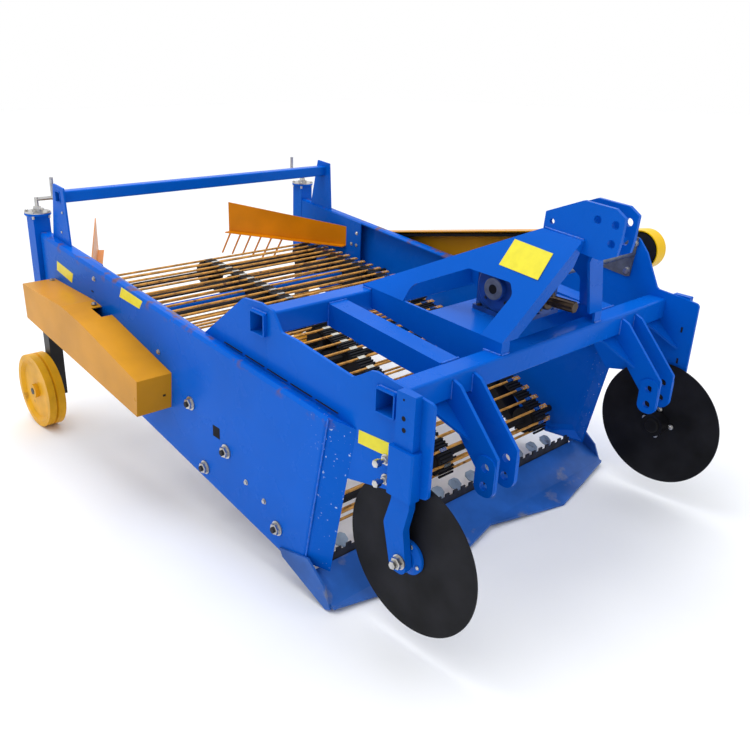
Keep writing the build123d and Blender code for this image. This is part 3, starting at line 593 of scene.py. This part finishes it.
def disc_hub(name, side):
    """The bolts and cap on one disc's inner face, and the flange with its bolts on the outer one."""
    out = AX * side
    body = f"coulter_disc_{name}"
    inner_bolts = Form()
    for y, z in circle(DISC_AXIS, 58, 4):
        inner_bolts.bolt((side * 713, y, z), -out, 8)
    inner_bolts.piece(f"disc_bolts_{name}", mats["zinc_steel"], body)
    flange = Form()
    flange.turned((side * 718.3, *DISC_AXIS), out, [(0, 56), (9, 56), (11, 53), (11, 34), (15, 32)], 40)
    flange.piece(f"disc_flange_{name}", mats["blue_paint"], body, "blue_paint")
    cap = Form()
    cap.turned((side * 664, *DISC_AXIS), -out, [(0, 30), (2, 30), (5, 24)], 30)
    cap.piece(f"disc_cap_{name}", mats["disc_steel"], body, "disc_steel")
    outer_bolts = Form()
    for y, z in circle(DISC_AXIS, 45, 4, 0.2):
        outer_bolts.bolt((side * 729, y, z), out, 7, False, 4)
    outer_bolts.piece(f"disc_flange_bolts_{name}", mats["zinc_steel"], body)


for name, side in (("left", -1), ("right", 1)):
    wheel_hub(name, side)
    disc_hub(name, side)

# Side walls with bent edges
WALL_LINE = [WALL_TOP, (2278, 7.3), (2278, -453.8), (466, -760), (340, -718)]
WINDOW = ((2100, 2246), (-330, -60))
CHEEK_LINE = ((1770, -36), (2278, 4), (2278, -330), (1770, -330))


def inset(points, by):
    """A convex (Y, Z) outline with every edge moved inwards."""
    lines = []
    for (y0, z0), (y1, z1) in zip(points, points[1:] + points[:1]):
        run = Vector((y1 - y0, z1 - z0)).normalized()
        lines.append((Vector((y0, z0)) + Vector((run.y, -run.x)) * by, run))
    out = []
    for (p, d), (q, e) in zip(lines[-1:] + lines[:-1], lines):
        t = ((q - p).x * e.y - (q - p).y * e.x) / (d.x * e.y - d.y * e.x)
        out.append(tuple(p + d * t))
    return out


def face_outwards(mesh):
    """Turns the normals of a closed mesh outwards."""
    solid = bmesh.new()
    solid.from_mesh(mesh)
    bmesh.ops.recalc_face_normals(solid, faces=solid.faces)
    solid.to_mesh(mesh)
    solid.free()


def cut_window(obj, side):
    """Cuts the rear window out of a wall and keeps the result as its mesh."""
    window = Form()
    window.box((side * (WALL - 13), side * (WALL + 20)), *WINDOW)
    cutter = window.piece("cutter", wall_paint, slot="blue_paint")
    cut = obj.modifiers.new("window", "BOOLEAN")
    cut.operation, cut.object, cut.solver = "DIFFERENCE", cutter, "EXACT"
    bpy.context.view_layer.update()
    done = bpy.data.meshes.new_from_object(obj.evaluated_get(bpy.context.evaluated_depsgraph_get()))
    obj.modifiers.clear()
    obj.data = done
    bpy.data.objects.remove(cutter)


def wall_shell(name, side):
    """One wall: its sheet, the bent strip round it, the flanges folded inwards and the window."""
    shell = Form()
    # inset, place across, and how far the front edge is bent forwards there
    rings = [(14, WALL, 0), (0, WALL - 8, 8), (0, PLATE + 0.3, 72), (6, PLATE + 0.3, 70),
             (6, WALL - 14, 10), (24, WALL - 6, 0)]
    for by, x, bent in rings:
        line = inset(WALL_LINE, by)
        for k in (0, len(line) - 1):
            line[k] = (line[k][0] - bent, line[k][1] - bent * 0.3)
        shell.points += [Vector((side * x, y, z)) for y, z in line]
    n, last = len(WALL_LINE), len(WALL_LINE) * (len(rings) - 1)
    faces = [tuple(range(n)), tuple(range(last + n - 1, last - 1, -1))]
    for a in range(0, last, n):
        b = a + n
        faces += [(a + i, b + i, b + (i + 1) % n, a + (i + 1) % n) for i in range(n)]
    shell.faces, shell.smooth = faces, [False] * len(faces)
    obj = shell.piece(f"{name}_shell", wall_paint, slot="blue_paint", stands_for=(name,))
    face_outwards(obj.data)
    cut_window(obj, side)
    # plate behind the window, where the deflector is screwed on
    cheek = Form()
    cheek.slab((side * (PLATE - 6), side * PLATE), CHEEK_LINE)
    cheek.piece(f"{name}_shell_cheek", mats["blue_paint"], slot="blue_paint")


wall_shell("side_wall_left", -1)
wall_shell("side_wall_right", 1)

# Leaf-shaped fingers behind the share, as (place across, reach) pairs from a finger's foot
LEAF = [(-9, 0), (9, 0), (9, 20), (27, 34), (28, 58), (15, 70), (-15, 70), (-28, 58), (-27, 34), (-9, 20)]
FINGERS, FINGER_PITCH, FINGER_T = 13, 100, 5
FINGER_Y, FINGER_Z, FINGER_TILT = 335.1, -752, radians(30)


def leaf_fingers():
    """A row of fingers that rise rearwards."""
    rearwards = Vector((0, cos(FINGER_TILT), sin(FINGER_TILT)))
    up = Vector((0, -sin(FINGER_TILT), cos(FINGER_TILT)))
    fingers = Form()
    for i in range(FINGERS):
        foot = Vector(((i - FINGERS // 2) * FINGER_PITCH, FINGER_Y, FINGER_Z))
        ring = [foot + AX * x + rearwards * reach for x, reach in LEAF]
        fingers.prism(ring, [p + up * FINGER_T for p in ring])
    fingers.piece("leaf_fingers", mats["share_steel"], slot="share_steel", stands_for=("share_fingers",))


leaf_fingers()

# Gearbox, input stub and the hitch plate's horn
NOSE_Y = 55             # front of the gearbox's nose
FACE_X = -104           # outer face of the plate on the gearbox's left side
SHAFT_AXIS = (SHAFT_Y, SHAFT_Z)
STUB_R, STUB_LONG, SPLINES = 17, 110, 6
HORN_LINE = [(150, 206), (215, 206), (330, 120), (457, 24), (470, -30), (110, -60)]


def splined_stub():
    """The input stub with its splines, and its collar on the gearbox's nose."""
    start = (0, NOSE_Y, STUB_Z)
    stub = Form()
    stub.turned(start, -AY, [(0, 34), (10, 34), (12, 30)], 32)
    stub.turned(start, -AY, [(0, STUB_R), (STUB_LONG - 0.5, STUB_R), (STUB_LONG, STUB_R - 1)])
    for x, z in circle((0, 0), 1, SPLINES):
        axes = (Vector((x, 0, z)), AY, Vector((-z, 0, x)))
        stub.block((STUB_R * x, -12, STUB_Z + STUB_R * z), axes, (1.6, 42, 3.6))
    stub.piece("splined_stub", mats["bright_shaft"], slot="bright_shaft", stands_for=("input_stub",))


def gearbox_bolts():
    """Bolts round the bearing and the nose, the filler plug, and the bolts that hold the box down."""
    cast = Form()
    for (y, z), (x, nose_z) in zip(circle(SHAFT_AXIS, 58, 4, 0.5), circle((0, STUB_Z), 42, 4, 0.5)):
        cast.bolt((FACE_X - 10, y, z), -AX, 6, False)
        cast.bolt((x, NOSE_Y, nose_z), -AY, 6, False)
    cast.hexagon((40, SHAFT_Y, 227), AZ, 12, 9, 9)
    for x in (-108, 108):
        for y in (105, 250):
            cast.bolt((x, y, SADDLE_Z + SADDLE_SLOPE * y + 16), AZ, 8)
    cast.piece("gearbox_bolts", mats["black_paint"], slot="black_paint")


def gearbox_face():
    """The plate on the gearbox's left side, with its round boss and four bolts."""
    plate = Form()
    plate.box((FACE_X, FACE_X + 7.8), (88, 268), (62, 222))
    plate.turned((FACE_X, *SHAFT_AXIS), -AX, [(0, 84), (5, 84), (7, 80)], 40)
    for z in (76, 208):
        for y in (100, 256):
            plate.bolt((FACE_X, y, z), -AX, 7, False)
    # darker blue: painted shade of the casting
    plate.piece("gearbox_face", shaded_cast_paint, slot="blue_paint")


def horn_rear():
    """The plate behind the right hitch plate's horn, down to the wall's upper edge."""
    horn = Form()
    horn.slab((PLATE - 9.5, PLATE - 0.5), HORN_LINE)
    horn.piece("horn_rear", mats["blue_paint"], slot="blue_paint")


def bearing():
    """The bearing's two rings, and a dark disc as painted shade in its bore."""
    ring = Form()
    ring.turned((FACE_X - 30, *SHAFT_AXIS), -AX, [(0, 37), (1, 37), (1.5, 35)], 36)
    ring.disc((FACE_X - 30.5, *SHAFT_AXIS), -AX, 24, 1.4, 30)
    ring.piece("bearing_ring", grey_plate, slot="pulley_iron")
    # dark disc: painted shade in the bore
    bore = Form()
    bore.disc((FACE_X - 32, *SHAFT_AXIS), -AX, 16, 0.6, 30)
    bore.piece("bearing_bore", hole, slot="black_paint")


splined_stub()
gearbox_bolts()
gearbox_face()
horn_rear()
bearing()

# Blank labels: corners, the way each faces, and its height above the node's face
LABELS = (
    ([(-88, 143, 314), (-94, -12, 300), (-149, -5, 223), (-144, 154, 236)], (-1, 0, 1), 4.6),
    ([(-WALL, 2110, -86), (-WALL, 1953, -109), (-WALL, 1973, -154), (-WALL, 2121, -130)], (-1, 0, 0), 0.0),
    ([(-WALL, 1505, -59), (-WALL, 1340, -74), (-WALL, 1369, -112), (-WALL, 1529, -104)], (-1, 0, 0), 0.0),
    ([(-PLATE, 153, -170), (-PLATE, 26, -162), (-PLATE, 27, -207), (-PLATE, 155, -214)], (-1, 0, 0), 0.0),
)


def blank_labels():
    """Thin yellow sheets with nothing on them."""
    labels = Form()
    for corners, facing, rise in LABELS:
        corners = [Vector(p) for p in corners]
        up = (corners[1] - corners[0]).cross(corners[3] - corners[0]).normalized()
        if up.dot(Vector(facing)) < 0:
            up = -up
        labels.prism([p + up * (0.2 + rise) for p in corners], [p + up * (0.9 + rise) for p in corners])
    labels.piece("blank_labels", label, slot="yellow_paint")


blank_labels()

# Weld beads
BEAM_SIDES = (398, 478)
BEAM_REAR_Z = 52                           # upper edge of the beams on the rear crossbar
CLEVIS_PLATES, HALF_PLATE = (415, 507), 6  # places across and half the thickness
beads = Form()


def saddle_and_mast_welds(side):
    """Beads where one side of the saddle meets the crossbars, and along the mast's upper edge."""
    x = side * SADDLE_X
    beads.bead([(x, 10, 1), (x, BAR, 1)])
    beads.bead([(x, 10, 1), (side * 239, 10, 1)])
    beads.bead([(x, BAR, 0), (x, BAR, -BAR)])
    beads.bead([(x, 650, 66), (x, REAR_Y, 66)])
    beads.bead([(side * 45, 64, 364), (side * 45, -BAR, 352)], 5)


def beam_welds(side):
    """Beads round one outer beam's ends, on the front and rear crossbars."""
    for x in BEAM_SIDES:
        beads.bead([(side * x, BAR, 0), (side * x, BAR, -BAR)])
        beads.bead([(side * x, REAR_Y, BEAM_REAR_Z), (side * x, REAR_Y, BEAM_REAR_Z - BAR)])
    for y, z in ((BAR, 0), (REAR_Y, BEAM_REAR_Z)):
        beads.bead([(side * x, y, z) for x in BEAM_SIDES])


def clevis_welds(side):
    """Beads on both faces of one lower clevis's plates, on the front crossbar."""
    for middle in CLEVIS_PLATES:
        for x in (side * (middle - HALF_PLATE), side * (middle + HALF_PLATE)):
            beads.bead([(x, 0, -20), (x, 0, -78)], 3.5)


def plate_and_wall_welds(side):
    """Beads round the crossbars' ends on one hitch plate, and down the wall's front edge."""
    x = side * PLATE
    beads.bead([(x, 0, 0.5), (x, BAR, 0.5), (x, BAR, -BAR)])
    beads.bead([(x, REAR_Y, REAR_Z), (x, REAR_Y + BAR, REAR_Z), (x, REAR_Y + BAR, REAR_Z - BAR)])
    beads.bead([(side * WALL, *WALL_TOP), (side * WALL, 340, -718)], 3)


for side in (-1, 1):
    saddle_and_mast_welds(side)
    beam_welds(side)
    clevis_welds(side)
    plate_and_wall_welds(side)
beads.piece("weld_beads", weld, slot="blue_paint")

# Belt tensioner and cross shaft, inside the right hitch plate
TENSIONER_X = 720
TENSIONER_LINE = [(153, 212), (168, 54), (184, 50), (308, 66), (306, 78), (178, 214)]


def tensioner():
    """The belt tensioner's plate and three screws."""
    plate = Form()
    plate.slab((TENSIONER_X + 5.6, TENSIONER_X), TENSIONER_LINE)
    plate.piece("tensioner_plate", grey_plate)
    screws = Form()
    for y, z in ((160, 188), (180, 79), (186, 72)):
        screws.nut((TENSIONER_X, y, z), -AX, 9, 8)
    screws.piece("tensioner_screws", mats["zinc_steel"])


def cross_shaft():
    """The shaft from the gearbox to the right hitch plate, with its flange."""
    shaft = Form()
    shaft.rod((96, *SHAFT_AXIS), (726, *SHAFT_AXIS), 18, 24)
    shaft.turned((96, *SHAFT_AXIS), AX, [(0, 52), (14, 52), (16, 40), (40, 34), (42, 24)], 32)
    shaft.piece("cross_shaft", grey_plate, slot="bright_shaft", stands_for=("cross_shaft_housing",))


tensioner()
cross_shaft()


# Stage, light and camera
def pale_floor():
    """A square of 60 m."""
    half = 30
    corners = [(x * half, y * half, 0) for x, y in ((-1, -1), (1, -1), (1, 1), (-1, 1))]
    mesh = bpy.data.meshes.new("floor")
    mesh.from_pydata(corners, [], [(0, 1, 2, 3)])
    mesh.materials.append(material("floor_pale", (0.93, 0.93, 0.93), 0.9, spread=0.01, scale=1.5, bump=0.0))
    floor = added("floor", mesh)


def studio_sky():
    """A sky that is bright from above and behind lights the object; every direct view of it is white."""
    world = bpy.data.worlds.new("studio")
    bpy.context.scene.world = world
    world.use_nodes = True
    tree = world.node_tree
    tree.nodes.clear()
    soft = tree.nodes.new("ShaderNodeBackground")
    soft.inputs["Color"].default_value = (0.95, 0.97, 1, 1)
    where = tree.nodes.new("ShaderNodeTexCoord")
    lean = tree.nodes.new("ShaderNodeVectorMath")
    lean.operation = "DOT_PRODUCT"
    lean.inputs[1].default_value = (0.27, 0.40, 0.88)
    tree.links.new(where.outputs["Generated"], lean.inputs[0])
    sky = tree.nodes.new("ShaderNodeMapRange")
    sky.inputs["From Min"].default_value = -1
    sky.inputs["To Min"].default_value = 0.15
    sky.inputs["To Max"].default_value = 1.45
    tree.links.new(lean.outputs["Value"], sky.inputs["Value"])
    tree.links.new(sky.outputs["Result"], soft.inputs["Strength"])
    white = tree.nodes.new("ShaderNodeBackground")
    white.inputs["Color"].default_value = (1, 1, 1, 1)
    rays = tree.nodes.new("ShaderNodeLightPath").outputs
    seen = calculate(tree, "MAXIMUM", rays["Is Camera Ray"], rays["Is Glossy Ray"])
    seen = calculate(tree, "MAXIMUM", seen, rays["Is Transmission Ray"])
    mix = tree.nodes.new("ShaderNodeMixShader")
    tree.links.new(seen, mix.inputs[0])
    tree.links.new(soft.outputs[0], mix.inputs[1])
    tree.links.new(white.outputs[0], mix.inputs[2])
    tree.links.new(mix.outputs[0], tree.nodes.new("ShaderNodeOutputWorld").inputs["Surface"])


def top_light():
    """One soft lamp above the machine."""
    light = bpy.data.lights.new("top_light", "AREA")
    light.size = 2.5
    light.energy = 70
    lamp = added("top_light", light)
    lamp.location = (-0.8, 0.4, 4.6)
    lamp.rotation_euler = (Vector((0, 0, 0.4)) - lamp.location).to_track_quat("-Z", "Y").to_euler()


# The photo's camera, fitted in the hitch frame: its place, its angles in radians, and its lens
EYE = (-2211, -1427, 914)
YAW, TILT, ROLL = 0.769359, -0.397410, 0.044146
FOCAL_PX, PHOTO_PX, SENSOR = 818.675, 750, 36


def photo_camera():
    """Puts the camera where the photo's stood."""
    forward = Vector((sin(YAW) * cos(TILT), cos(YAW) * cos(TILT), sin(TILT)))
    flat_right = Vector((cos(YAW), -sin(YAW), 0))
    flat_up = flat_right.cross(forward)
    right = flat_right * cos(ROLL) + flat_up * sin(ROLL)
    up = flat_up * cos(ROLL) - flat_right * sin(ROLL)
    turn = PITCH @ Matrix((right, up, -forward)).transposed()
    data = bpy.data.cameras.new("camera")
    data.sensor_width = SENSOR
    data.lens = SENSOR * FOCAL_PX / PHOTO_PX
    camera = added("camera", data)
    camera.matrix_world = Matrix.Translation(place(EYE)) @ turn.to_4x4()
    bpy.context.scene.camera = camera


pale_floor()
studio_sky()
top_light()
photo_camera()
bpy.context.scene.view_settings.view_transform = "Standard"
